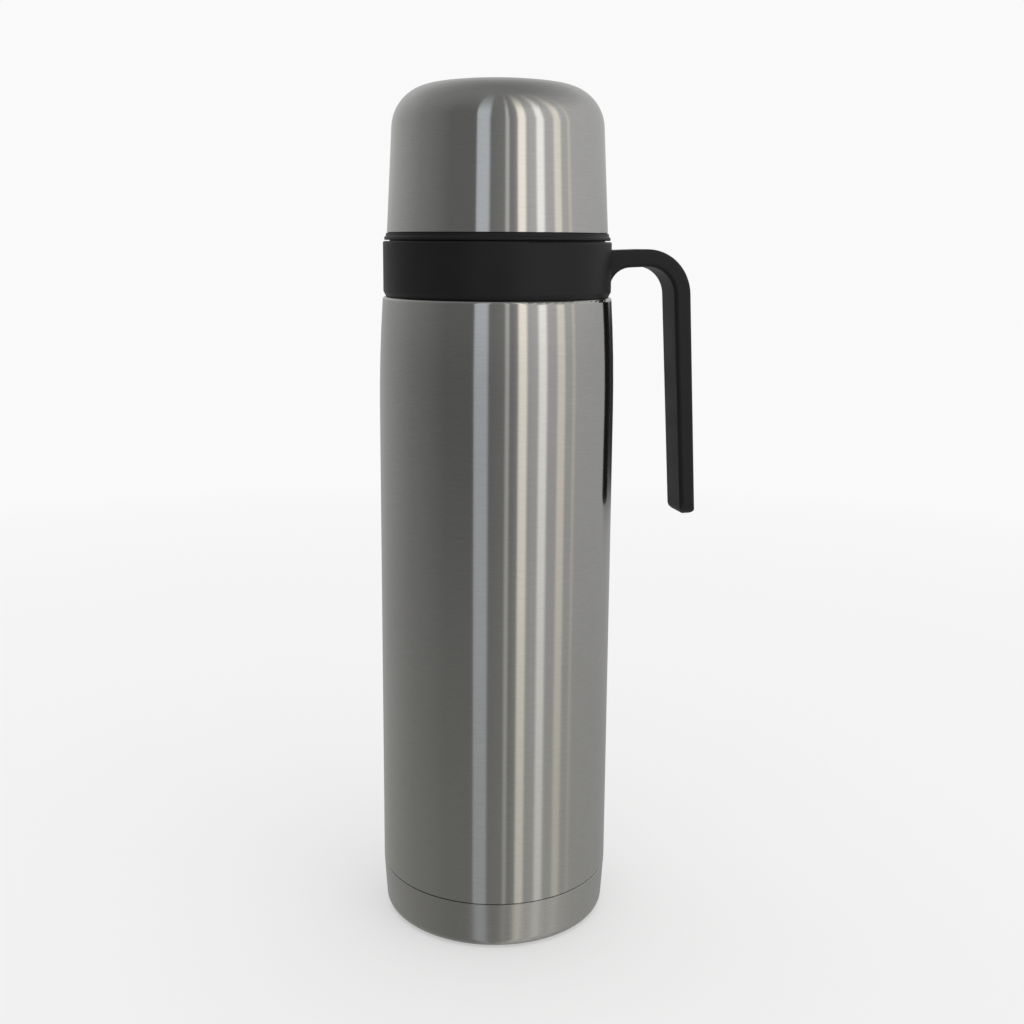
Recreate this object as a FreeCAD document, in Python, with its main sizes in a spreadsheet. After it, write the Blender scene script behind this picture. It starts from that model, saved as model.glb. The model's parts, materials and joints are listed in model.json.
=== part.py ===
import FreeCAD, Part
import math
import os

import Sketcher
from FreeCAD import Vector

# A one-litre stainless vacuum flask with a screw-on drinking cup, a push-button
# pouring stopper and a black collar with a one-armed handle.
# The frame: +Z up along the flask's axis, the origin at the middle of its foot,
# and the handle on +X. Every length is in millimetres.

SIZES = {
    # vessel, outside
    "body_radius": 43.5,
    "shell_wall": 0.5,
    "seam_height": 18.0,
    "seam_gap": 0.4,
    "shoulder_start": 195.5,
    "shoulder_end": 235.7,
    "shoulder_radius": 42.1,
    "rim_roll": 1.3,
    "rim_flat": 2.8,
    "neck_radius": 29.0,
    "neck_foot": 239.5,
    "bead_height": 261.4,
    "bead_round": 0.95,
    "mouth_height": 268.0,
    # vessel, inside
    "bottle_radius": 38.5,
    "bottle_wall": 0.4,
    "bottle_floor": 13.0,
    "floor_round": 6.0,
    "floor_rim": 19.4,
    "bottle_shoulder": 222.0,
    "shoulder_sweep": 14.5,
    "sweep_angle": 82.0,
    "throat_radius": 24.0,
    "throat_foot": 238.6,
    "ledge_height": 244.0,
    "mouth_bore": 26.5,
    # base
    "foot_taper": 1.0,
    "foot_round": 3.6,
    "foot_inner": 36.0,
    "foot_recess": 1.6,
    "sleeve_foot": 6.0,
    "disc_top": 9.0,
    # collar
    "collar_radius": 41.8,
    "collar_wall": 2.6,
    "collar_roof": 2.4,
    "collar_foot": 237.1,
    "collar_top": 256.8,
    "collar_step": 39.4,
    "step_height": 0.6,
    "sleeve_wall": 2.3,
    "sleeve_low": 243.0,
    "sleeve_high": 260.8,
    "boss_radius": 35.2,
    "boss_bore": 32.3,
    "boss_top": 267.8,
    # handle
    "handle_width": 15.0,
    "handle_thick": 6.6,
    "handle_edge": 1.5,
    "arm_top": 253.8,
    "arm_rise": 1.1,
    "handle_reach": 72.9,
    "handle_splay": 5.35,
    "handle_bend": 17.5,
    "handle_tip": 152.4,
    "handle_tip_thick": 6.1,
    "tip_corner": 5.0,
    "root_round": 8.2,
    # threads, the same lead for the cup and the stopper
    "thread_lead": 4.0,
    "thread_rise": 5.0,
    "thread_deep": 1.0,
    "thread_foot": 1.7,
    "thread_crest": 0.9,
    "thread_offset": 1.5,
    "cup_thread_start": 259.9,
    "mouth_thread_start": 253.0,
    # cup
    "cup_rim_bottom": 257.2,
    "cup_rim_radius": 41.3,
    "cup_edge": 259.7,
    "cup_radius": 40.3,
    "cup_wall": 0.5,
    "cup_corner": 15.3,
    "cup_draft": 2.95,
    "corner_centre": 23.1,
    "corner_height": 296.4,
    "crown_angle": 8.8,
    "flask_height": 313.5,
    "skirt_bore": 36.6,
    "liner_wall": 1.8,
    "liner_step": 269.6,
    "liner_bore": 34.8,
    "liner_draft": 1.0,
    "liner_top": 303.3,
    # stopper
    "stopper_radius": 25.1,
    "stopper_wall": 2.0,
    "stopper_floor": 246.8,
    "nose_radius": 20.0,
    "nose_foot": 237.0,
    "nose_bore": 16.2,
    "nose_top": 250.8,
    "tube_bore": 11.0,
    "deck_height": 268.8,
    "deck_radius": 30.5,
    "deck_thick": 2.0,
    "grip_radius": 28.0,
    "grip_wall": 2.2,
    "grip_top": 286.0,
    "guide_foot": 276.0,
    "window_width": 22.0,
    "window_height": 6.5,
    "spider_top": 268.0,
    # button and valve
    "button_radius": 10.9,
    "button_foot": 280.5,
    "button_top": 288.4,
    "button_wall": 2.0,
    "stem_radius": 2.4,
    "stem_foot": 233.3,
    "stem_top": 284.0,
    "valve_radius": 14.0,
    "spring_radius": 5.2,
    "spring_wire": 0.8,
    "spring_lead": 2.75,
}

GRIP_RIBS = 36
COLLAR_RIBS = 8
SPIDER_RIBS = 3
FIT = 0.1  # play left between faces that meet
MERGE = 0.3  # how far a rib or thread reaches into the wall that carries it


class Size:
    """A length together with the spreadsheet expression that gives it."""

    def __init__(self, value, text):
        self.value = float(value)
        self.text = text

    def _join(self, other, sign, value):
        if not isinstance(other, Size):
            other = Size(other, repr(float(other)))
        return Size(value(self.value, other.value), f"({self.text} {sign} {other.text})")

    def __add__(self, other):
        return self._join(other, "+", lambda a, b: a + b)

    def __sub__(self, other):
        return self._join(other, "-", lambda a, b: a - b)

    def __mul__(self, other):
        return self._join(other, "*", lambda a, b: a * b)

    def __truediv__(self, other):
        return self._join(other, "/", lambda a, b: a / b)

    def sin(self):
        return Size(math.sin(math.radians(self.value)), f"sin({self.text} * 1 deg)")

    def cos(self):
        return Size(math.cos(math.radians(self.value)), f"cos({self.text} * 1 deg)")


class Bag:
    """The named sizes, as attributes."""


def size_of(value):
    return value if isinstance(value, Size) else Size(value, repr(float(value)))


doc = FreeCAD.newDocument("vacuum_flask")
sheet = doc.addObject("Spreadsheet::Sheet", "Sizes")
s = Bag()
for row, (alias, value) in enumerate(SIZES.items(), start=1):
    sheet.set(f"A{row}", alias)
    sheet.set(f"B{row}", str(value))
    sheet.setAlias(f"B{row}", alias)
    setattr(s, alias, Size(value, f"Sizes.{alias}"))
doc.recompute()

parts = []


# ---------------------------------------------------------------- sketch helpers


class Arc:
    """Between two outline points: an arc of this radius, turning left (+1) or right (-1)."""

    def __init__(self, radius, turn):
        self.radius = size_of(radius)
        self.turn = turn


class Round:
    """Before an outline point: that corner is rounded, tangent to its two straight sides."""

    def __init__(self, radius):
        self.radius = size_of(radius)


def new_body(label):
    body = doc.addObject("PartDesign::Body", label)
    body.Label = label
    parts.append(body)
    return body


def plane_of(body, role):
    return [f for f in body.Origin.OriginFeatures if f.Role == role][0]


def new_sketch(body, name, role="XZ_Plane", lift=None):
    """A sketch on one of the body's own origin planes, lifted along the plane's normal."""
    sketch = body.newObject("Sketcher::SketchObject", name)
    sketch.AttachmentSupport = (plane_of(body, role), [""])
    sketch.MapMode = "FlatFace"
    if lift is not None:
        sketch.setExpression("AttachmentOffset.Base.z", size_of(lift).text)
    return sketch


def bind(sketch, index, size):
    """Names a dimension and ties it to the spreadsheet. A plain number stays a plain number."""
    if "Sizes." in size.text:
        sketch.renameConstraint(index, f"d{index}")
        sketch.setExpression(f"Constraints.d{index}", size.text)


def fix_point(sketch, geo, end, x, y):
    """Puts a sketch point at x, y by two dimensions from the origin."""
    for kind, axis, size in (("DistanceX", -2, x), ("DistanceY", -1, y)):
        if abs(size.value) < 1e-9:
            sketch.addConstraint(Sketcher.Constraint("PointOnObject", geo, end, axis))
        else:
            at = sketch.addConstraint(
                Sketcher.Constraint(kind, -1, 1, geo, end, size.value)
            )
            bind(sketch, at, size)


def arc_edge(a, b, radius, turn):
    """The arc from a to b with that radius. turn +1 keeps its centre on the left."""
    chord = b.sub(a)
    middle = (a + b) * 0.5
    reach = math.sqrt(max(radius * radius - chord.Length**2 / 4, 0.0))
    left = Vector(-chord.y, chord.x, 0).normalize()
    centre = middle + left * (reach * turn)
    start = math.atan2(a.y - centre.y, a.x - centre.x)
    end = math.atan2(b.y - centre.y, b.x - centre.x)
    if turn < 0:
        start, end = end, start
    circle = Part.Circle(centre, Vector(0, 0, 1), radius)
    return Part.ArcOfCircle(circle, start, end)


def outline(sketch, items):
    """Draws a closed outline. Its corners sit at (x, y) pairs; Arc and Round come between them."""
    points, arcs, rounds = [], {}, {}
    for item in items:
        if isinstance(item, Arc):
            arcs[len(points) - 1] = item
        elif isinstance(item, Round):
            rounds[len(points)] = item
        else:
            points.append((size_of(item[0]), size_of(item[1])))
    count = len(points)
    at = [Vector(x.value, y.value, 0) for x, y in points]
    leave, arrive = list(at), list(at)
    for i, corner in rounds.items():
        back = at[i - 1].sub(at[i]).normalize()
        ahead = at[(i + 1) % count].sub(at[i]).normalize()
        cut = corner.radius.value / math.tan(back.getAngle(ahead) / 2)
        arrive[i] = at[i] + back * cut
        leave[i] = at[i] + ahead * cut
    first, last = {}, {}
    for i in range(count):
        j = (i + 1) % count
        if i in arcs:
            edge = arc_edge(leave[i], arrive[j], arcs[i].radius.value, arcs[i].turn)
            geo = sketch.addGeometry(edge, False)
            starts = 1 if arcs[i].turn > 0 else 2
            first[i], last[j] = (geo, starts), (geo, 3 - starts)
            radius = Sketcher.Constraint("Radius", geo, arcs[i].radius.value)
            bind(sketch, sketch.addConstraint(radius), arcs[i].radius)
        else:
            geo = sketch.addGeometry(Part.LineSegment(leave[i], arrive[j]), False)
            first[i], last[j] = (geo, 1), (geo, 2)
    for i in range(count):
        if i in rounds:
            corner = rounds[i]
            side = at[i - 1].sub(at[i]).cross(at[(i + 1) % count].sub(at[i])).z
            turn = -1 if side > 0 else 1
            edge = arc_edge(arrive[i], leave[i], corner.radius.value, turn)
            geo = sketch.addGeometry(edge, False)
            starts = 1 if turn > 0 else 2
            sketch.addConstraint(
                [
                    Sketcher.Constraint("Tangent", *last[i], geo, starts),
                    Sketcher.Constraint("Tangent", geo, 3 - starts, *first[i]),
                ]
            )
            radius = Sketcher.Constraint("Radius", geo, corner.radius.value)
            bind(sketch, sketch.addConstraint(radius), corner.radius)
            mark = sketch.addGeometry(Part.Point(at[i]), True)
            sketch.addConstraint(
                [
                    Sketcher.Constraint("PointOnObject", mark, 1, last[i][0]),
                    Sketcher.Constraint("PointOnObject", mark, 1, first[i][0]),
                ]
            )
            fix_point(sketch, mark, 1, *points[i])
        else:
            sketch.addConstraint(Sketcher.Constraint("Coincident", *last[i], *first[i]))
            fix_point(sketch, *first[i], *points[i])


def checked(feature, body):
    """Recomputes, and stops at the first feature that failed."""
    body.Tip = feature
    doc.recompute()
    if any(word in feature.State for word in ("Invalid", "Error")):
        raise RuntimeError(f"{body.Label}: {feature.Name} failed: {feature.getStatusString()}")
    return feature


def turned(body, items, name="turned"):
    """A solid of revolution about Z from an outline of (radius, height) corners."""
    sketch = new_sketch(body, f"{body.Label}_{name}_outline")
    outline(sketch, items)
    feature = body.newObject("PartDesign::Revolution", f"{body.Label}_{name}")
    feature.Profile = sketch
    feature.ReferenceAxis = (sketch, ["V_Axis"])
    feature.Angle = 360
    return checked(feature, body)


def grooved(body, items, name="groove"):
    """Cuts a revolved outline out of the body, and makes sure that it cut something."""
    before = body.Shape.Volume
    sketch = new_sketch(body, f"{body.Label}_{name}_outline")
    outline(sketch, items)
    feature = body.newObject("PartDesign::Groove", f"{body.Label}_{name}")
    feature.Profile = sketch
    feature.ReferenceAxis = (sketch, ["V_Axis"])
    feature.Angle = 360
    checked(feature, body)
    if body.Shape.Volume > before - 1e-3:
        raise RuntimeError(f"{body.Label}: {name} cut nothing")
    return feature


def threaded(body, wall, crest, start, name="thread"):
    """Adds one helical ridge that stands on a wall of the given radius."""
    outwards = 1 if crest.value > wall.value else -1
    root = wall - MERGE * outwards
    sketch = new_sketch(body, f"{body.Label}_{name}_section")
    half_foot, half_crest = s.thread_foot / 2, s.thread_crest / 2
    outline(
        sketch,
        [
            (root, start - half_foot),
            (wall, start - half_foot),
            (crest, start - half_crest),
            (crest, start + half_crest),
            (wall, start + half_foot),
            (root, start + half_foot),
        ],
    )
    feature = body.newObject("PartDesign::AdditiveHelix", f"{body.Label}_{name}")
    feature.Profile = sketch
    feature.ReferenceAxis = (sketch, ["V_Axis"])
    feature.Mode = 0
    feature.setExpression("Pitch", s.thread_lead.text)
    feature.setExpression("Height", s.thread_rise.text)
    feature.Angle = 0
    feature.LeftHanded = False
    feature.Reversed = False
    return checked(feature, body)


def pad(body, role, items, length, name="pad", middle=True, lift=None):
    sketch = new_sketch(body, f"{body.Label}_{name}_outline", role, lift)
    outline(sketch, items)
    feature = body.newObject("PartDesign::Pad", f"{body.Label}_{name}")
    feature.Profile = sketch
    feature.setExpression("Length", size_of(length).text)
    feature.Midplane = middle
    return checked(feature, body)


def cut_along_x(body, outlines, start, side, length, name):
    """Cuts outlines of (y, z) corners out of the body, outwards from x = start * side."""
    before = body.Shape.Volume
    sketch = new_sketch(body, f"{body.Label}_{name}_outline", "YZ_Plane", start * side)
    for items in outlines:
        outline(sketch, items)
    feature = body.newObject("PartDesign::Pocket", f"{body.Label}_{name}")
    feature.Profile = sketch
    feature.Length = length
    feature.Reversed = side > 0
    checked(feature, body)
    if body.Shape.Volume > before - 1.0:
        raise RuntimeError(f"{body.Label}: {name} cut nothing")


def repeated(body, feature, count, name="pattern"):
    pattern = body.newObject("PartDesign::PolarPattern", f"{body.Label}_{name}")
    pattern.Originals = [feature]
    pattern.Axis = (plane_of(body, "Z_Axis"), [""])
    pattern.Angle = 360
    pattern.Occurrences = count
    return checked(pattern, body)


def rounded(body, feature, edges, radius, name="rounds"):
    fillet = body.newObject("PartDesign::Fillet", f"{body.Label}_{name}")
    fillet.Base = (feature, edges)
    fillet.setExpression("Radius", size_of(radius).text)
    return checked(fillet, body)


# ---------------------------------------------------------------- vessel


def make_outer_shell():
    """The brushed outer wall, its rolled shoulder, and the neck that the collar slides over."""
    wall = s.shell_wall
    inner = s.body_radius - wall
    sleeve_low = inner - s.foot_taper + 0.05
    sleeve_top = inner - 0.15
    rise = s.shoulder_end - s.shoulder_start
    drop = s.body_radius - s.shoulder_radius
    bow = (rise * rise + drop * drop) / (drop * 2)
    roll_top = s.shoulder_end + s.rim_roll
    roll_radius = s.shoulder_radius - s.rim_roll
    neck_in = s.neck_radius - wall
    body = new_body("outer_shell")
    turned(
        body,
        [
            (sleeve_low, s.sleeve_foot),
            (sleeve_top, s.seam_height),
            (s.body_radius - 0.15, s.seam_height + s.seam_gap * 0.5),
            (s.body_radius, s.seam_height + s.seam_gap),
            (s.body_radius, s.shoulder_start),
            Arc(bow, 1),
            (s.shoulder_radius, s.shoulder_end),
            Arc(s.rim_roll, 1),
            (roll_radius, roll_top),
            (roll_radius - s.rim_flat, roll_top),
            Round(1.5),
            (s.neck_radius, s.neck_foot),
            (s.neck_radius, s.bead_height),
            Arc(s.bead_round, 1),
            (s.neck_radius, s.bead_height + 1.6),
            (s.neck_radius, s.mouth_height),
            (neck_in, s.mouth_height),
            Round(2.1),
            (neck_in, s.neck_foot - wall),
            (roll_radius - s.rim_flat, roll_top - wall),
            (roll_radius, roll_top - wall),
            Arc(s.rim_roll - wall, -1),
            (s.shoulder_radius - wall, s.shoulder_end),
            Arc(bow - wall, -1),
            (inner, s.shoulder_start),
            (inner, s.seam_height + 0.7),
            (sleeve_top - wall, s.seam_height),
            (sleeve_low - wall, s.sleeve_foot),
        ],
    )


def bottle_line(inset):
    """The liner's outer line from its shoulder up to its throat, moved inwards by inset."""
    sweep = s.shoulder_sweep - inset
    out = s.sweep_angle.cos() * sweep
    up = s.sweep_angle.sin() * sweep
    return [
        (s.bottle_radius - inset, s.bottle_shoulder),
        Arc(sweep, 1),
        (s.throat_radius + out, s.bottle_shoulder + up),
        (s.throat_radius - inset, s.throat_foot - inset * 0.4),
    ]


def backwards(items):
    """The same line drawn the other way."""
    line = []
    for item in reversed(items):
        if isinstance(item, Round):
            line.insert(-1, item)
        elif isinstance(item, Arc):
            line.append(Arc(item.radius, -item.turn))
        else:
            line.append(item)
    return line


def make_liner_floor():
    """The dished floor welded into the liner's lower end."""
    wall = s.bottle_wall
    inner = s.bottle_radius - wall
    body = new_body("liner_floor")
    turned(
        body,
        [
            (0, s.bottle_floor),
            Round(s.floor_round),
            (s.bottle_radius, s.bottle_floor),
            (s.bottle_radius, s.floor_rim),
            (inner, s.floor_rim),
            Round(s.floor_round - wall),
            (inner, s.bottle_floor + wall),
            (0, s.bottle_floor + wall),
        ],
    )


def make_liner_tube():
    """The liner's straight wall, between its welded floor and its welded neck."""
    inner = s.bottle_radius - s.bottle_wall
    body = new_body("liner_tube")
    turned(
        body,
        [
            (inner, s.floor_rim),
            (s.bottle_radius, s.floor_rim),
            (s.bottle_radius, s.bottle_shoulder),
            (inner, s.bottle_shoulder),
        ],
    )


def make_liner_neck():
    """The liner's shoulder and mouth, with the gasket's ledge and the stopper's thread."""
    wall = s.bottle_wall
    body = new_body("liner_neck")
    turned(
        body,
        bottle_line(Size(0, "0"))
        + [
            (s.throat_radius, s.ledge_height - wall),
            (s.mouth_bore + wall, s.ledge_height - wall),
            (s.mouth_bore + wall, s.mouth_height),
            (s.neck_radius, s.mouth_height),
            (s.neck_radius, s.mouth_height + wall),
            Round(0.4),
            (s.mouth_bore, s.mouth_height + wall),
            (s.mouth_bore, s.ledge_height),
            (s.throat_radius - wall, s.ledge_height),
        ]
        + backwards(bottle_line(wall)),
    )
    threaded(body, s.mouth_bore, s.mouth_bore - s.thread_deep, s.mouth_thread_start)


def make_outer_bottom():
    """The pressed disc that closes the vacuum jacket, with the evacuation dimple in its middle."""
    wall = s.shell_wall
    rim = s.body_radius - wall * 2 - s.foot_taper - FIT * 0.5
    low = s.disc_top - wall
    body = new_body("outer_bottom")
    turned(
        body,
        [
            (rim - wall, s.sleeve_foot),
            (rim, s.sleeve_foot),
            Round(1.5),
            (rim, s.disc_top),
            (5.4, s.disc_top),
            (4.6, s.disc_top - 1.0),
            (1.0, s.disc_top - 1.0),
            (1.0, s.disc_top - 1.6),
            (4.9, s.disc_top - 1.6),
            (5.7, low),
            Round(0.9),
            (rim - wall, low),
        ],
    )


def make_seal_bead():
    """The bead of solder that closes the evacuation hole from below."""
    body = new_body("seal_bead")
    turned(
        body,
        [
            (0, s.disc_top - 2.6),
            Arc(6.0, 1),
            (3.2, s.disc_top - 1.65),
            (0.95, s.disc_top - 1.65),
            (0.95, s.disc_top - 1.1),
            (0, s.disc_top - 1.1),
        ],
    )


def make_getter():
    """The pill that keeps the vacuum, and the strip that clips it to the disc."""
    pill = new_body("getter")
    turned(pill, [(0, 0), Round(0.4), (4.0, 0), Round(0.4), (4.0, 2.2), (0, 2.2)])
    pill.Placement = FreeCAD.Placement(Vector(20, 0, 9.6), FreeCAD.Rotation())
    clip = new_body("getter_clip")
    foot, roof = s.disc_top + 0.05, s.disc_top + 2.9
    pad(
        clip,
        "XZ_Plane",
        [
            (12.6, foot),
            (15.7, foot),
            (15.7, roof),
            (24.3, roof),
            (24.3, foot),
            (27.4, foot),
            (27.4, foot + 0.3),
            (24.6, foot + 0.3),
            Round(0.5),
            (24.6, roof + 0.3),
            Round(0.5),
            (15.4, roof + 0.3),
            (15.4, foot + 0.3),
            (12.6, foot + 0.3),
        ],
        5.0,
    )


def make_radiation_foil():
    """The aluminium foil wrapped round the liner inside the jacket."""
    body = new_body("radiation_foil")
    inner = s.bottle_radius + 0.25
    low, high = s.bottle_floor + 11, s.bottle_shoulder - 6
    turned(body, [(inner, low), (inner + 0.15, low), (inner + 0.15, high), (inner, high)])


def make_base_cup():
    """The brushed cap below the seam line, with its foot ring and raised middle."""
    wall = s.shell_wall
    top = s.body_radius - 0.05
    low = s.body_radius - s.foot_taper - 0.2
    body = new_body("base_cup")
    turned(
        body,
        [
            (top - wall, s.seam_height - 0.2),
            Round(s.foot_round - wall),
            (low - wall, wall),
            (s.foot_inner + 0.3, wall),
            (s.foot_inner - 1.0, s.foot_recess + wall),
            (0, s.foot_recess + wall),
            (0, s.foot_recess),
            (s.foot_inner - 1.4, s.foot_recess),
            (s.foot_inner, 0),
            Round(s.foot_round),
            (low, 0),
            (top, s.seam_height - 0.35),
            (top - 0.15, s.seam_height - 0.2),
        ],
    )


# ---------------------------------------------------------------- collar and handle


def make_collar():
    """The black collar with its one-armed handle, the cup's threaded boss and the neck sleeve."""
    body = new_body("collar")
    root = s.collar_radius - 0.35
    inside = s.collar_radius - s.collar_wall + 0.4
    arm_low = s.arm_top - s.handle_thick
    outside = s.handle_reach + s.handle_splay
    profile = pad(
        body,
        "XZ_Plane",
        [
            (inside, s.arm_top),
            (inside, s.collar_foot + 1.8),
            (root, s.collar_foot + 1.8),
            Round(s.root_round),
            (root, arm_low),
            Round(s.handle_bend - s.handle_thick),
            (s.handle_reach - s.handle_thick + 0.3, arm_low + s.arm_rise),
            Round(3.2),
            (outside - s.handle_tip_thick, s.handle_tip),
            Round(2.2),
            (outside, s.handle_tip),
            Round(s.handle_bend),
            (s.handle_reach, s.arm_top + s.arm_rise),
        ],
        s.handle_width,
        "handle",
    )
    side = s.handle_width.value / 2 - 1e-3
    edges = [
        f"Edge{i}"
        for i, edge in enumerate(profile.Shape.Edges, start=1)
        if abs(edge.CenterOfMass.y) > side and edge.BoundBox.XMax > s.collar_radius.value
    ]
    rounded(body, profile, edges, s.handle_edge, "handle_edges")
    half = s.handle_width / 2
    corners = [corner_cut(half, s.handle_tip, s.tip_corner, side) for side in (1, -1)]
    cut_along_x(body, corners, s.handle_reach - 15.0, 1, 40.0, "tip_corners")
    sleeve_in = s.neck_radius + FIT
    sleeve_out = sleeve_in + s.sleeve_wall
    wall_in = s.collar_radius - s.collar_wall
    roof = s.collar_top - s.collar_roof
    step_top = s.collar_top + s.step_height
    turned(
        body,
        [
            (s.collar_radius - 0.9, s.collar_foot),
            (s.collar_radius, s.collar_foot + 1.7),
            Round(0.6),
            (s.collar_radius, s.collar_top),
            (s.collar_step, s.collar_top),
            (s.collar_step, step_top),
            (s.boss_radius, step_top),
            Round(0.6),
            (s.boss_radius, s.boss_top),
            Round(0.6),
            (s.boss_bore, s.boss_top),
            (s.boss_bore, s.sleeve_high),
            (sleeve_in, s.sleeve_high),
            (sleeve_in, s.sleeve_low),
            (sleeve_out, s.sleeve_low),
            (sleeve_out, roof),
            (wall_in, roof),
            (wall_in, s.collar_foot),
        ],
    )
    low = s.sleeve_low + 3.0
    rib = pad(
        body,
        "XZ_Plane",
        [
            (sleeve_out - MERGE, low),
            (wall_in + MERGE, low),
            (wall_in + MERGE, roof + MERGE),
            (sleeve_out - MERGE, roof + MERGE),
        ],
        2.0,
        "rib",
    )
    repeated(body, rib, COLLAR_RIBS, "ribs")
    crest = s.boss_radius + s.thread_deep
    threaded(body, s.boss_radius, crest, s.cup_thread_start + s.thread_offset)


def corner_cut(half, low, radius, side):
    """The waste outside a rounded lower corner, on the +Y (side 1) or the -Y side (side -1)."""
    return [
        ((half - radius) * side, low - 1.0),
        ((half + 1.0) * side, low - 1.0),
        ((half + 1.0) * side, low + radius),
        (half * side, low + radius),
        Arc(radius, -side),
        ((half - radius) * side, low),
    ]


def ring(label, inner, outer, low, high, edge):
    """A soft ring of rounded rectangular section."""
    body = new_body(label)
    corners = [(inner, low), (outer, low), (outer, high), (inner, high)]
    turned(body, [item for corner in corners for item in (Round(edge), corner)])


# ---------------------------------------------------------------- cup


def dome_line(inset, foot):
    """The dome's outer line from a given height up to the axis, moved inwards by inset."""
    reach = s.cup_corner - inset
    lean = s.cup_draft.sin() / s.cup_draft.cos()
    foot_radius = s.cup_radius - inset - (foot - s.cup_edge) * lean
    crest_x = s.corner_centre + s.crown_angle.sin() * reach
    crest_z = s.corner_height + s.crown_angle.cos() * reach
    top = s.flask_height - inset
    sag = top - crest_z
    return [
        (foot_radius, foot),
        (
            s.corner_centre + s.cup_draft.cos() * reach,
            s.corner_height + s.cup_draft.sin() * reach,
        ),
        Arc(reach, 1),
        (crest_x, crest_z),
        Arc((crest_x * crest_x + sag * sag) / (sag * 2), 1),
        (0, top),
    ]


def liner_line(outset):
    """The cup liner's outer line above its rim, moved outwards by outset."""
    skirt = s.skirt_bore + s.liner_wall + outset
    waist = s.liner_bore + s.liner_wall + outset
    top = s.liner_top + outset
    return [
        (skirt, s.liner_step + 1.0),
        (waist, s.liner_step + 2.6),
        Round(size_of(outset) + 10.5),
        (waist - s.liner_draft, top),
        (0, top),
    ]


def make_cup_shell():
    """The brushed dome."""
    body = new_body("cup_shell")
    zero = Size(0, "0")
    inside = backwards(dome_line(s.cup_wall, s.cup_edge))
    turned(body, [Round(0.35)] + dome_line(zero, s.cup_edge) + inside)


def make_cup_liner():
    """The black inner cup: the rim ring that shows below the dome, the thread, and the bowl."""
    body = new_body("cup_liner")
    rim = s.cup_rim_bottom
    edge = s.cup_edge
    spigot = s.cup_radius - s.cup_wall - FIT
    skirt = s.skirt_bore + s.liner_wall
    turned(
        body,
        [
            (s.skirt_bore, rim + s.step_height),
            (s.collar_step + 0.4, rim + s.step_height),
            (s.collar_step + 0.4, rim),
            Round(0.3),
            (s.cup_rim_radius, rim),
            Round(0.3),
            (s.cup_rim_radius, rim + 1.0),
            (s.cup_radius + 0.45, rim + 1.5),
            (s.cup_radius + 0.35, edge - 0.05),
            (spigot, edge - 0.05),
            (spigot - 0.1, edge + 2.8),
            (skirt, edge + 3.8),
        ]
        + liner_line(0)
        + [
            (0, s.liner_top - s.liner_wall),
            Round(8.7),
            (s.liner_bore - s.liner_draft, s.liner_top - s.liner_wall),
            (s.liner_bore, s.liner_step),
            (s.skirt_bore, s.liner_step),
        ],
    )
    threaded(body, s.skirt_bore, s.skirt_bore - s.thread_deep, s.cup_thread_start)


def make_cup_foam():
    """The insulation between the dome and the liner."""
    body = new_body("cup_foam")
    gap = 0.15
    foot = s.cup_edge + 4.3
    turned(
        body,
        dome_line(s.cup_wall + gap, foot)
        + backwards(liner_line(gap))
        + [(s.skirt_bore + s.liner_wall + gap, foot)],
    )


# ---------------------------------------------------------------- stopper


def make_stopper_body():
    """The stopper's threaded outer wall, with the flange that sits on the mouth."""
    body = new_body("stopper_body")
    wall = s.stopper_wall
    hole = s.nose_radius - wall + FIT * 0.5
    deck_top = s.deck_height + s.deck_thick
    turned(
        body,
        [
            (hole, s.stopper_floor),
            Round(0.6),
            (s.stopper_radius, s.stopper_floor),
            (s.stopper_radius, s.deck_height),
            Round(0.6),
            (s.deck_radius, s.deck_height),
            Round(0.6),
            (s.deck_radius, deck_top),
            (s.stopper_radius - wall, deck_top),
            (s.stopper_radius - wall, s.stopper_floor + wall),
            (hole, s.stopper_floor + wall),
        ],
    )
    crest = s.stopper_radius + s.thread_deep
    threaded(body, s.stopper_radius, crest, s.mouth_thread_start - s.thread_offset)


def make_stopper_nose():
    """The nose pressed into the stopper from below, with the pouring tube and the stem's spider."""
    body = new_body("stopper_nose")
    wall = s.stopper_wall
    tube_out = s.tube_bore + wall
    deck_top = s.deck_height + s.deck_thick
    seat = s.stopper_floor - FIT * 0.5
    turned(
        body,
        [
            (s.tube_bore, s.nose_foot),
            (tube_out, s.nose_foot),
            Round(1.2),
            (s.nose_radius, s.nose_foot),
            (s.nose_radius, seat),
            (s.nose_radius - wall, seat),
            (s.nose_radius - wall, s.nose_top),
            (s.nose_bore, s.nose_top),
            (s.nose_bore, s.nose_foot + wall),
            (tube_out, s.nose_foot + wall),
            (tube_out, deck_top),
            (s.tube_bore, deck_top),
        ],
    )
    top = s.spider_top
    rib = pad(
        body,
        "XZ_Plane",
        [
            (4.0, top - 4.0),
            (s.tube_bore + MERGE, top - 4.0),
            (s.tube_bore + MERGE, top - 1.0),
            (4.0, top - 1.0),
        ],
        1.6,
        "spider_arm",
    )
    repeated(body, rib, SPIDER_RIBS, "spider_arms")
    hub = s.stem_radius + FIT
    turned(
        body,
        [
            (hub, top - 6.0),
            (4.2, top - 6.0),
            (4.2, top - 1.5),
            (6.4, top - 1.5),
            (6.4, top),
            (hub, top),
        ],
        "hub",
    )


def make_stopper_foam():
    """The insulation in the stopper's ring-shaped hollow."""
    body = new_body("stopper_foam")
    gap = 0.15
    tube = s.tube_bore + s.stopper_wall + gap
    nose = s.nose_bore - gap
    skirt = s.stopper_radius - s.stopper_wall - gap
    low = s.nose_foot + s.stopper_wall + gap
    step = s.nose_top + gap
    top = s.deck_height + s.deck_thick - gap
    turned(
        body,
        [(tube, low), (nose, low), (nose, step), (skirt, step), (skirt, top), (tube, top)],
    )


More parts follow.
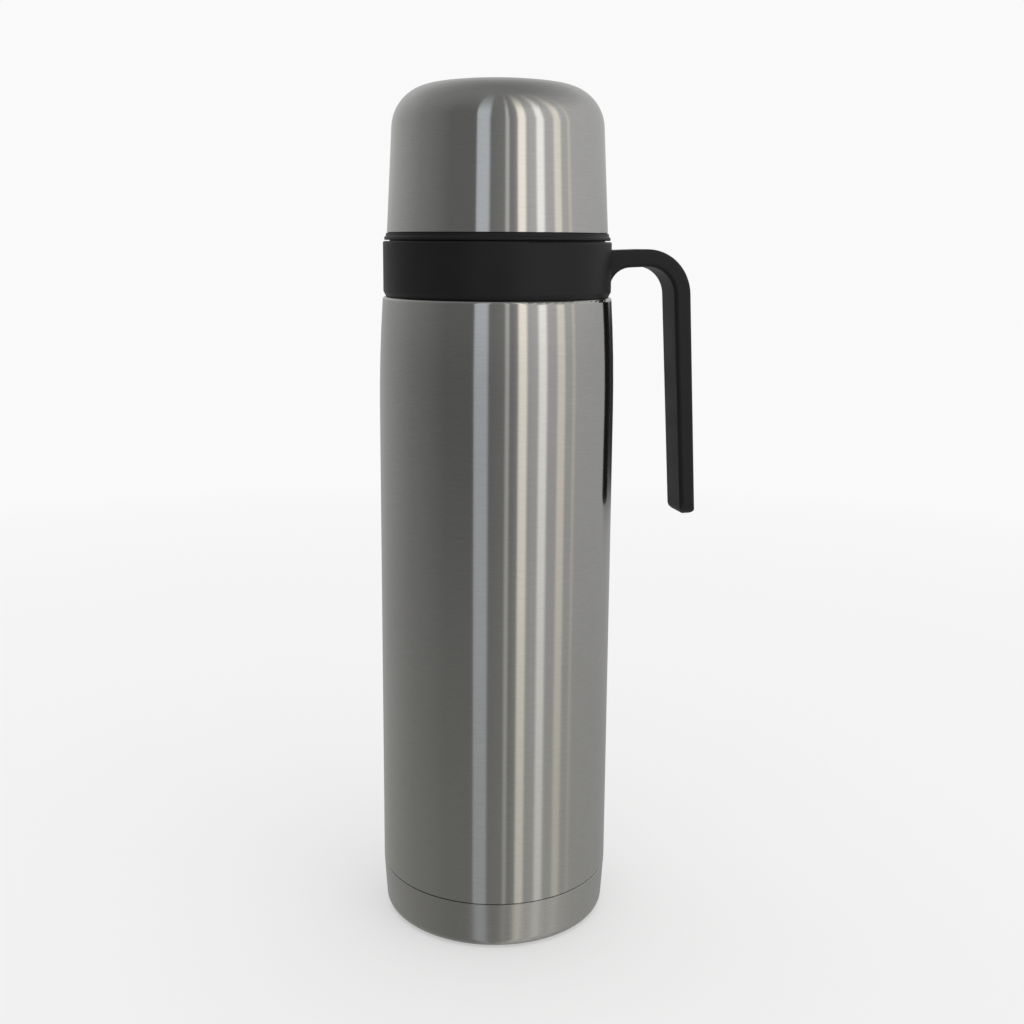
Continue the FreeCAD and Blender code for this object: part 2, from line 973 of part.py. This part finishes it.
def window(body, half_width, low, high, side, name):
    """Opens the grip's wall on the +X (side 1) or the -X side (side -1)."""
    corners = [
        (half_width * -1, low),
        Round(1.0),
        (half_width, low),
        Round(1.0),
        (half_width, high),
        (half_width * -1, high),
    ]
    cut_along_x(body, [corners], s.grip_radius - s.grip_wall - 2.0, side, 12.0, name)


def make_stopper_cap():
    """The upper half: ribbed grip, pouring window with its lip, air hole, and the button's bore."""
    body = new_body("stopper_cap")
    floor = s.deck_height + s.deck_thick + FIT * 0.5
    deck = floor + s.deck_thick
    grip_in = s.grip_radius - s.grip_wall
    bore = s.tube_bore
    guide = bore + 2.0
    roof = s.grip_top - 2.2
    turned(
        body,
        [
            (bore, floor),
            (s.grip_radius, floor),
            Round(1.6),
            (s.grip_radius, s.grip_top),
            Round(0.5),
            (bore, s.grip_top),
            (bore, s.guide_foot),
            (guide, s.guide_foot),
            (guide, roof),
            (grip_in, roof),
            (grip_in, deck),
            (bore, deck),
        ],
    )
    lip = s.grip_radius + 3.0
    pad(
        body,
        "XY_Plane",
        [
            ((s.grip_radius - 1.0) * -1, 6.0),
            Round(3.0),
            (lip * -1, 5.0),
            Round(3.0),
            (lip * -1, -5.0),
            ((s.grip_radius - 1.0) * -1, -6.0),
        ],
        deck - floor,
        "lip",
        middle=False,
        lift=floor,
    )
    rib = pad(
        body,
        "XZ_Plane",
        [
            (s.grip_radius - MERGE, deck + 1.0),
            (s.grip_radius + 0.6, deck + 1.6),
            (s.grip_radius + 0.6, s.grip_top - 3.2),
            (s.grip_radius - MERGE, s.grip_top - 2.4),
        ],
        1.6,
        "rib",
    )
    repeated(body, rib, GRIP_RIBS, "ribs")
    window(body, s.window_width / 2, deck, deck + s.window_height, -1, "pour_window")
    window(body, size_of(3.0), deck + 1.5, deck + 5.5, 1, "air_hole")


# ---------------------------------------------------------------- button and valve


def make_button():
    """The push button: a hollow cap with the boss that takes the stem."""
    body = new_body("button")
    wall = s.button_wall
    skirt_in = s.button_radius - 2.2
    stem = s.stem_radius + 0.02
    turned(
        body,
        [
            (s.button_radius, s.button_foot),
            (s.button_radius, s.button_foot + 1.6),
            (s.button_radius - 1.2, s.button_foot + 1.6),
            (s.button_radius - 1.2, s.button_foot + 3.4),
            (s.button_radius, s.button_foot + 3.4),
            Round(1.2),
            (s.button_radius, s.button_top),
            (6.5, s.button_top),
            Arc(40.0, -1),
            (0, s.button_top - 0.6),
            (0, s.stem_top + FIT),
            (stem, s.stem_top + FIT),
            (stem, s.button_foot - 1.5),
            (4.2, s.button_foot - 1.5),
            (4.2, s.button_top - wall),
            (skirt_in, s.button_top - wall),
            (skirt_in, s.button_foot),
        ],
    )


def make_valve_stem():
    """The rod that carries the valve disc, from the button down through the spider."""
    body = new_body("valve_stem")
    foot = s.stem_foot
    turned(
        body,
        [
            (0, foot - 0.6),
            (4.0, foot - 0.6),
            (4.6, foot),
            Round(0.5),
            (s.valve_radius - 1.5, foot),
            Round(0.5),
            (s.valve_radius - 1.5, foot + 1.5),
            (s.stem_radius, foot + 1.5),
            Round(0.4),
            (s.stem_radius, s.stem_top),
            (0, s.stem_top),
        ],
    )


def make_spring():
    """The return spring between the spider and the button."""
    body = new_body("button_spring")
    wire = s.spring_wire / 2
    start = s.spider_top + wire + 0.05
    end = s.button_top - s.button_wall - wire - 0.05
    sketch = new_sketch(body, "button_spring_section")
    outline(
        sketch,
        [
            (s.spring_radius, start - wire),
            Arc(wire, 1),
            (s.spring_radius, start + wire),
            Arc(wire, 1),
        ],
    )
    feature = body.newObject("PartDesign::AdditiveHelix", "button_spring_coil")
    feature.Profile = sketch
    feature.ReferenceAxis = (sketch, ["V_Axis"])
    feature.Mode = 0
    feature.setExpression("Pitch", s.spring_lead.text)
    feature.setExpression("Height", (end - start).text)
    checked(feature, body)


make_outer_shell()
make_liner_floor()
make_liner_tube()
make_liner_neck()
make_outer_bottom()
make_seal_bead()
make_getter()
make_radiation_foil()
make_base_cup()
make_collar()
ring(
    "collar_seal",
    s.neck_radius + FIT,
    s.boss_bore - FIT,
    s.bead_height + 2.0,
    s.bead_height + 4.2,
    0.6,
)
make_cup_shell()
make_cup_liner()
ring(
    "cup_gasket",
    s.boss_bore + 0.4,
    s.skirt_bore - s.thread_deep - 0.2,
    s.boss_top + FIT,
    s.liner_step - FIT,
    0.4,
)
make_cup_foam()
make_stopper_body()
make_stopper_nose()
make_stopper_cap()
ring(
    "stopper_gasket",
    s.nose_radius + FIT,
    s.stopper_radius + 0.2,
    s.ledge_height + 0.05,
    s.stopper_floor - 0.05,
    0.7,
)
make_stopper_foam()
make_valve_stem()
ring(
    "valve_seal",
    s.stem_radius + 0.5,
    s.valve_radius,
    s.stem_foot + 1.55,
    s.nose_foot - 0.05,
    0.5,
)
make_button()
ring(
    "button_seal",
    s.button_radius - 1.15,
    s.tube_bore - 0.05,
    s.button_foot + 1.7,
    s.button_foot + 3.3,
    0.5,
)
make_spring()

doc.recompute()
for thing in doc.Objects:
    if any(word in thing.State for word in ("Invalid", "Error")):
        raise RuntimeError(f"{thing.Name} has an error: {thing.getStatusString()}")
os.makedirs("parts", exist_ok=True)
for body in parts:
    shape = body.Shape
    if shape.isNull() or not shape.isValid() or len(shape.Solids) != 1:
        raise RuntimeError(f"{body.Label} is not one valid solid")
    shape.exportStep(f"parts/{body.Label}.step")
    print(body.Label, round(shape.Volume, 1))
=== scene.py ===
import json
import math

import bpy
from mathutils import Matrix, Vector


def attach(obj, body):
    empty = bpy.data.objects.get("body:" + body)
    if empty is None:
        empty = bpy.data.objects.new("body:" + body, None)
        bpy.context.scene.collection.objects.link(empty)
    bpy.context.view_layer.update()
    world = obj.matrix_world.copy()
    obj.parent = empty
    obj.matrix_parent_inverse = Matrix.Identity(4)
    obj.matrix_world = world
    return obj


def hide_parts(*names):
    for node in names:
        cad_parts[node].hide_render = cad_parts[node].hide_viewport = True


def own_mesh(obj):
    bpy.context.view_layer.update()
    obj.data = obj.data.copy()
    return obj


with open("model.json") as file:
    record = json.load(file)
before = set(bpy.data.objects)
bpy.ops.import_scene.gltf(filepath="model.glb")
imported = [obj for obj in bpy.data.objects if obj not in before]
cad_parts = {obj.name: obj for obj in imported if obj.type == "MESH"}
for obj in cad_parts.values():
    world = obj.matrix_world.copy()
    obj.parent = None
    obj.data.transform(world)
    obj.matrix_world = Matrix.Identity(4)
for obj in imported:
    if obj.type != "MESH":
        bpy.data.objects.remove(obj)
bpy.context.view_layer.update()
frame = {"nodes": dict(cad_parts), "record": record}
nodes = frame["nodes"]
scene = bpy.context.scene

# ---------------------------------------------------------------- camera

# The camera stands level with the collar's roof, a little round from the front, so that
# the handle points right and slightly away.
VIEW_AZIMUTH = math.radians(-14.0)
DISTANCE = 0.47216
EYE_HEIGHT = 0.25575
PITCH = math.radians(10.13)
ROLL = math.radians(0.31)
SENSOR_WIDTH = 36.0
LENS = 44.602
SHIFT = (0.01548, -0.03989)
towards = Vector((math.sin(VIEW_AZIMUTH), -math.cos(VIEW_AZIMUTH), 0.0))
sideways = Vector((math.cos(VIEW_AZIMUTH), math.sin(VIEW_AZIMUTH), 0.0))

camera_data = bpy.data.cameras.new("camera")
camera_data.sensor_width = SENSOR_WIDTH
camera_data.lens = LENS
camera_data.shift_x, camera_data.shift_y = SHIFT
camera = bpy.data.objects.new("camera", camera_data)
scene.collection.objects.link(camera)
turn = Matrix.Rotation(VIEW_AZIMUTH, 4, "Z") @ Matrix.Rotation(math.pi / 2 - PITCH, 4, "X")
place = Matrix.Translation(towards * DISTANCE + Vector((0, 0, EYE_HEIGHT)))
camera.matrix_world = place @ turn @ Matrix.Rotation(ROLL, 4, "Z")
scene.camera = camera


# ---------------------------------------------------------------- node helpers


class Graph:
    """Short ways to add shader nodes to one tree."""

    def __init__(self, tree):
        self.tree = tree
        tree.nodes.clear()

    def add(self, kind, **settings):
        node = self.tree.nodes.new(kind)
        for name, value in settings.items():
            setattr(node, name, value)
        return node

    def link(self, source, target):
        self.tree.links.new(source, target)

    def feed(self, socket, value):
        """Sets a socket from a number or a colour, or links it to another socket."""
        if isinstance(value, bpy.types.NodeSocket):
            self.link(value, socket)
        else:
            socket.default_value = value

    def math(self, operation, a, b=0.0):
        node = self.add("ShaderNodeMath", operation=operation)
        self.feed(node.inputs[0], a)
        self.feed(node.inputs[1], b)
        return node.outputs[0]

    def spread(self, value, low, high, to_low, to_high):
        """Maps a range to another and clamps it."""
        node = self.add("ShaderNodeMapRange")
        for socket, part in zip(node.inputs, (value, low, high, to_low, to_high)):
            self.feed(socket, part)
        return node.outputs[0]

    def place(self, scale):
        """The piece's own coordinates, scaled per axis."""
        coords = self.add("ShaderNodeTexCoord")
        mapping = self.add("ShaderNodeMapping")
        mapping.inputs["Scale"].default_value = scale
        self.link(coords.outputs["Object"], mapping.inputs["Vector"])
        return mapping.outputs[0]

    def noise(self, scale, detail=3.0, roughness=0.5):
        """Noise with the given number of cells per metre along each axis."""
        node = self.add("ShaderNodeTexNoise")
        self.link(self.place(scale), node.inputs["Vector"])
        node.inputs["Scale"].default_value = 1.0
        node.inputs["Detail"].default_value = detail
        node.inputs["Roughness"].default_value = roughness
        return node.outputs["Fac"]

    def tint(self, factor, dark, light):
        """A colour between two by factor."""
        node = self.add("ShaderNodeMix", data_type="RGBA")
        self.feed(node.inputs[0], factor)
        node.inputs[6].default_value = (*dark, 1.0)
        node.inputs[7].default_value = (*light, 1.0)
        return node.outputs[2]

    def bump(self, height, strength, distance):
        node = self.add("ShaderNodeBump")
        node.inputs["Strength"].default_value = strength
        node.inputs["Distance"].default_value = distance
        self.link(height, node.inputs["Height"])
        return node.outputs[0]


def material(name, **constants):
    """A new material with a Principled shader whose fixed values are set on its own sockets."""
    made = bpy.data.materials.new(name)
    made.use_nodes = True
    graph = Graph(made.node_tree)
    shader = graph.add("ShaderNodeBsdfPrincipled")
    output = graph.add("ShaderNodeOutputMaterial")
    graph.link(shader.outputs[0], output.inputs["Surface"])
    for key, value in constants.items():
        shader.inputs[key.replace("_", " ")].default_value = value
    return made, graph, shader


# ---------------------------------------------------------------- materials

# The anisotropic rotation that turns the highlight across the brushing.
QUARTER_TURN = 0.25
# The middle part of a noise's range, where nearly all of its values lie.
CALM, BUSY = 0.3, 0.7
PLASTIC_IOR = 1.36

def brushed(name, rough, anisotropy, dashes):
    """Steel brushed round the axis: fine scratches, short glints and faint handling marks.

    The share of the grain that is short glints is given by dashes.
    """
    made, g, shader = material(name, Metallic=1.0, Anisotropic=anisotropy)
    shader.inputs["Anisotropic Rotation"].default_value = QUARTER_TURN
    tangent = g.add("ShaderNodeTangent", direction_type="RADIAL", axis="Z")
    g.link(tangent.outputs[0], shader.inputs["Tangent"])
    scratches = g.noise((90.0, 90.0, 5200.0), detail=4.0, roughness=0.7)
    glints = g.noise((260.0, 260.0, 2600.0), detail=2.0)
    cloud = g.noise((28.0, 28.0, 16.0), detail=3.0)
    worn = g.math("ADD", g.math("MULTIPLY", scratches, 0.35), g.math("MULTIPLY", cloud, 0.25))
    worn = g.math("ADD", worn, g.math("MULTIPLY", glints, 0.4))
    wear = g.spread(worn, CALM, BUSY, 0.0, 1.0)
    g.link(g.tint(wear, (0.575, 0.57, 0.555), (0.67, 0.665, 0.65)), shader.inputs["Base Color"])
    uneven = g.math("ADD", g.math("MULTIPLY", glints, 0.5), g.math("MULTIPLY", cloud, 0.5))
    g.link(
        g.spread(uneven, CALM, BUSY, rough * 0.86, rough * 1.16), shader.inputs["Roughness"]
    )
    long_marks = g.math("MULTIPLY", scratches, 1.0 - dashes)
    grain = g.math("ADD", long_marks, g.math("MULTIPLY", glints, dashes))
    g.link(g.bump(grain, 0.08, 0.00003), shader.inputs["Normal"])
    return made


def plain_steel():
    """Electropolished steel inside the flask and on the small parts."""
    made, g, shader = material("plain_steel", Metallic=1.0)
    cloud = g.noise((60.0, 60.0, 40.0))
    g.link(g.tint(cloud, (0.54, 0.54, 0.54), (0.64, 0.64, 0.63)), shader.inputs["Base Color"])
    g.link(g.spread(cloud, CALM, BUSY, 0.22, 0.36), shader.inputs["Roughness"])
    lines = g.noise((40.0, 40.0, 1800.0))
    g.link(g.bump(lines, 0.15, 0.00005), shader.inputs["Normal"])
    return made


def plastic(name, dark, light, rough, texture):
    """Moulded plastic with a fine eroded texture and slightly uneven gloss."""
    made, g, shader = material(name)
    shader.inputs["IOR"].default_value = PLASTIC_IOR
    cloud = g.noise((70.0, 70.0, 70.0), detail=4.0)
    grain = g.noise((3800.0, 3800.0, 3800.0), detail=2.0)
    g.link(g.tint(cloud, dark, light), shader.inputs["Base Color"])
    g.link(
        g.spread(cloud, CALM, BUSY, rough * 0.9, rough * 1.12), shader.inputs["Roughness"]
    )
    g.link(g.bump(grain, texture, 0.00004), shader.inputs["Normal"])
    return made


def silicone():
    """Soft, faintly translucent white rubber."""
    made, g, shader = material("silicone", Roughness=0.5)
    shader.inputs["Subsurface Weight"].default_value = 0.25
    shader.inputs["Subsurface Radius"].default_value = (0.004, 0.004, 0.004)
    shader.inputs["Subsurface Scale"].default_value = 0.5
    cloud = g.noise((200.0, 200.0, 200.0))
    g.link(g.tint(cloud, (0.70, 0.70, 0.68), (0.82, 0.82, 0.80)), shader.inputs["Base Color"])
    g.link(g.bump(cloud, 0.1, 0.00005), shader.inputs["Normal"])
    return made


def foam():
    """Moulded insulation with small closed cells."""
    made, g, shader = material("foam", Roughness=0.9)
    cells = g.add("ShaderNodeTexVoronoi")
    g.link(g.place((1400.0, 1400.0, 1400.0)), cells.inputs["Vector"])
    cells.inputs["Scale"].default_value = 1.0
    g.link(
        g.tint(cells.outputs["Distance"], (0.66, 0.62, 0.50), (0.90, 0.87, 0.78)),
        shader.inputs["Base Color"],
    )
    g.link(g.bump(cells.outputs["Distance"], 0.6, 0.0003), shader.inputs["Normal"])
    return made


def foil():
    """Bright crumpled aluminium foil."""
    made, g, shader = material("foil", Metallic=1.0)
    crumple = g.noise((220.0, 220.0, 220.0), detail=6.0, roughness=0.6)
    g.link(g.tint(crumple, (0.72, 0.72, 0.73), (0.88, 0.88, 0.89)), shader.inputs["Base Color"])
    g.link(g.spread(crumple, CALM, BUSY, 0.12, 0.28), shader.inputs["Roughness"])
    g.link(g.bump(crumple, 0.5, 0.0004), shader.inputs["Normal"])
    return made


def small_metal(name, dark, light, rough):
    """Grainy metal for the small parts in the jacket."""
    made, g, shader = material(name, Metallic=0.9)
    cloud = g.noise((900.0, 900.0, 900.0))
    g.link(g.tint(cloud, dark, light), shader.inputs["Base Color"])
    g.link(g.spread(cloud, CALM, BUSY, rough * 0.8, rough * 1.2), shader.inputs["Roughness"])
    g.link(g.bump(cloud, 0.4, 0.0001), shader.inputs["Normal"])
    return made


steel_body = brushed("steel_body", 0.12, 0.94, 0.45)
steel_dome = brushed("steel_dome", 0.12, 0.94, 0.35)
steel_base = brushed("steel_base", 0.26, 0.85, 0.4)
finishes = {
    "plain_steel": plain_steel(),
    "black_gloss": plastic(
        "black_moulding", (0.008, 0.008, 0.009), (0.012, 0.012, 0.013), 0.42, 0.25
    ),
    "black_matte": plastic("black_matt", (0.012, 0.012, 0.013), (0.020, 0.020, 0.021), 0.55, 0.4),
    "button_grey": plastic("button_grey", (0.085, 0.09, 0.10), (0.11, 0.115, 0.125), 0.45, 0.3),
    "silicone": silicone(),
    "foam": foam(),
    "foil": foil(),
    "getter_metal": small_metal("getter_metal", (0.10, 0.10, 0.11), (0.22, 0.22, 0.23), 0.6),
    "solder": small_metal("solder", (0.55, 0.52, 0.44), (0.72, 0.69, 0.60), 0.3),
}
steels = {"outer_shell": steel_body, "base_cup": steel_base, "cup_shell": steel_dome}
for entry in frame["record"]["subparts"]:
    piece = nodes[entry["node"]]
    chosen = steels.get(entry["node"]) or finishes[entry["material_slot"]]
    for slot in piece.material_slots:
        slot.material = chosen

# ---------------------------------------------------------------- return spring

# The spring is shown by a copy of its piece that moves with the button.
spring = bpy.data.objects.new("return_spring", nodes["button_spring"].data.copy())
spring.matrix_world = nodes["button_spring"].matrix_world.copy()
scene.collection.objects.link(spring)
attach(spring, "button")
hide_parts("button_spring")
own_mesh(spring)

# ---------------------------------------------------------------- gaskets and foam

# These round pieces sit on the lift or the rise alone, so each is shown by a piece that
# rises and turns with its own part.
for node, body, slot in (
    ("stopper_gasket", "stopper", "silicone"),
    ("stopper_foam", "stopper", "foam"),
    ("cup_gasket", "cup", "silicone"),
    ("cup_foam", "cup", "foam"),
):
    piece = bpy.data.objects.new(node + "_seated", nodes[node].data.copy())
    piece.matrix_world = nodes[node].matrix_world.copy()
    scene.collection.objects.link(piece)
    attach(piece, body)
    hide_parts(node)

# ---------------------------------------------------------------- studio

# The floor fades into the backdrop, so that no horizon shows.
BACKDROP = (0.95, 0.95, 0.95)
FLOOR_HALF = 6.0
FADE_START, FADE_END = 0.05, 0.9
floor_mesh = bpy.data.meshes.new("floor")
corners = [(FLOOR_HALF * x, FLOOR_HALF * y, 0) for x, y in ((-1, -1), (1, -1), (1, 1), (-1, 1))]
floor_mesh.from_pydata(corners, [], [(0, 1, 2, 3)])
floor = bpy.data.objects.new("floor", floor_mesh)
scene.collection.objects.link(floor)
floor_material, g, floor_shader = material("floor", Roughness=0.6)
floor_shader.inputs["Base Color"].default_value = (0.86, 0.86, 0.86, 1.0)
glow = g.add("ShaderNodeEmission")
glow.inputs["Color"].default_value = (*BACKDROP, 1.0)
reach = g.add("ShaderNodeVectorMath", operation="LENGTH")
g.link(g.place((1.0, 1.0, 0.0)), reach.inputs[0])
fade = g.add("ShaderNodeMixShader")
g.link(g.spread(reach.outputs["Value"], FADE_START, FADE_END, 0.45, 1.0), fade.inputs[0])
g.link(floor_shader.outputs[0], fade.inputs[1])
g.link(glow.outputs[0], fade.inputs[2])
floor_output = [n for n in floor_material.node_tree.nodes if n.type == "OUTPUT_MATERIAL"][0]
g.link(fade.outputs[0], floor_output.inputs["Surface"])
floor_mesh.materials.append(floor_material)
floor.visible_glossy = False

# Upright soft boxes stand round the flask, and the steel mirrors them as its upright bands.
# Each is (degrees to the right of the camera, width in degrees, brightness, tint).
COOL = (0.93, 0.98, 1.05)
WHITE = (1.0, 0.99, 0.96)
WARM = (1.0, 0.95, 0.85)
SOFT_BOXES = [
    (-15, 15, 0.50, COOL),
    (10, 5, 0.50, WHITE),
    (25, 10, 1.00, WARM),
    (45, 10, 1.00, WHITE),
    (65, 10, 0.80, WARM),
    (80, 5, 0.60, WARM),
]
SOFT_EDGE = 1.5
# The bare walls between them, as (degrees to the right of the camera, brightness).
WALLS = [(-150, 0.4), (-90, 0.2), (-50, 0.12), (-25, 0.12), (15, 0.2), (35, 0.45), (150, 0.4)]
# The boxes are brighter above eye level, where only the dome sees them.
UPPER_GAIN = 1.3
# A dark card stands behind the handle, far round to the right and below eye level. Its edges
# are soft: each pair says where it is whole and where it has gone.
DARK_CARD = (0.03, 0.03, 0.03)
CARD_NEAR_EDGE = (136, 130)
CARD_FAR_EDGE = (166, 178)
CARD_FOOT = (-0.18, -0.21)
CARD_TOP = (-0.03, 0.01)
GREY_FLOOR = (0.27, 0.27, 0.25)
GREY_CEILING = (0.24, 0.24, 0.24)
world = bpy.data.worlds.new("studio")
scene.world = world
world.use_nodes = True
w = Graph(world.node_tree)
direction = w.add("ShaderNodeTexCoord").outputs["Generated"]
parts = []
for axis in (sideways, towards, Vector((0, 0, 1))):
    dot = w.add("ShaderNodeVectorMath", operation="DOT_PRODUCT")
    w.link(direction, dot.inputs[0])
    dot.inputs[1].default_value = axis
    parts.append(dot.outputs["Value"])
turned_by = w.spread(w.math("ARCTAN2", parts[0], parts[1]), -math.pi, math.pi, 0.0, 1.0)
height = parts[2]


def wall_at(degrees):
    """The brightness of the bare wall in one direction."""
    for (low, start), (high, end) in zip(WALLS, WALLS[1:]):
        if low <= degrees <= high:
            return start + (end - start) * (degrees - low) / (high - low)
    return WALLS[-1][1]


def room_marks():
    """The walls and soft boxes as (degrees, colour), in order round the room."""
    marks = [(degrees, (value,) * 3) for degrees, value in WALLS]
    for centre, width, brightness, tint in SOFT_BOXES:
        lit = tuple(brightness * part for part in tint)
        for side in (-1, 1):
            edge = centre + side * width / 2
            marks.append((edge, (wall_at(edge),) * 3))
            marks.append((edge - side * SOFT_EDGE, lit))
    return sorted(marks)


def room_position(degrees):
    """A direction as a share of the whole turn, with the camera's at one half."""
    return degrees / 360 + 0.5


def room_colour(gain):
    """The colour of the walls and soft boxes in each direction, made brighter by gain."""
    ramp = w.add("ShaderNodeValToRGB")
    w.link(turned_by, ramp.inputs[0])
    stops = ramp.color_ramp.elements
    marks = room_marks()
    for _ in range(len(marks) - 2):
        stops.new(0.5)
    for stop, (degrees, colour) in zip(stops, marks):
        stop.position = room_position(degrees)
        stop.color = (*(gain * part for part in colour), 1.0)
    return ramp.outputs[0]


def blend(factor, first, second):
    """The first colour where factor is 0 and the second where it is 1."""
    node = w.add("ShaderNodeMix", data_type="RGBA")
    w.feed(node.inputs[0], factor)
    w.feed(node.inputs[6], first)
    w.feed(node.inputs[7], second)
    return node.outputs[2]


above_eye = w.spread(height, -0.02, 0.08, 0.0, 1.0)
studio = blend(above_eye, room_colour(1.0), room_colour(UPPER_GAIN))
near_whole, near_gone = (room_position(degrees) for degrees in CARD_NEAR_EDGE)
far_edge = [room_position(degrees) for degrees in CARD_FAR_EDGE]
behind = w.spread(turned_by, near_gone, near_whole, 0.0, 1.0)
for value, (whole, gone) in ((turned_by, far_edge), (height, CARD_FOOT), (height, CARD_TOP)):
    behind = w.math("MULTIPLY", behind, w.spread(value, whole, gone, 1.0, 0.0))
studio = blend(behind, studio, (*DARK_CARD, 1.0))
studio = blend(w.spread(height, -0.45, -0.14, 0.45, 0.0), studio, (*GREY_FLOOR, 1.0))
studio = blend(w.spread(height, 0.50, 0.97, 0.0, 1.0), studio, (*GREY_CEILING, 1.0))
panels = w.add("ShaderNodeBackground")
w.link(studio, panels.inputs["Color"])
panels.inputs["Strength"].default_value = 1.0
backdrop = w.add("ShaderNodeBackground")
backdrop.inputs["Color"].default_value = (*BACKDROP, 1.0)
path = w.add("ShaderNodeLightPath")
mix = w.add("ShaderNodeMixShader")
w.link(path.outputs["Is Camera Ray"], mix.inputs[0])
w.link(panels.outputs[0], mix.inputs[1])
w.link(backdrop.outputs[0], mix.inputs[2])
world_output = w.add("ShaderNodeOutputWorld")
w.link(mix.outputs[0], world_output.inputs["Surface"])


# One broad lamp hangs straight overhead. An area lamp shines down unless it is turned.
LAMP_HEIGHT = 1.6
LAMP_SIDE = 2.2
LAMP_POWER = 26.0
lamp = bpy.data.lights.new("overhead", "AREA")
lamp.shape = "RECTANGLE"
lamp.size, lamp.size_y = LAMP_SIDE, LAMP_SIDE
lamp.energy = LAMP_POWER
overhead = bpy.data.objects.new("overhead", lamp)
overhead.location = (0, 0, LAMP_HEIGHT)
overhead.visible_glossy = False
scene.collection.objects.link(overhead)

scene.view_settings.view_transform = "Standard"
scene.view_settings.look = "None"
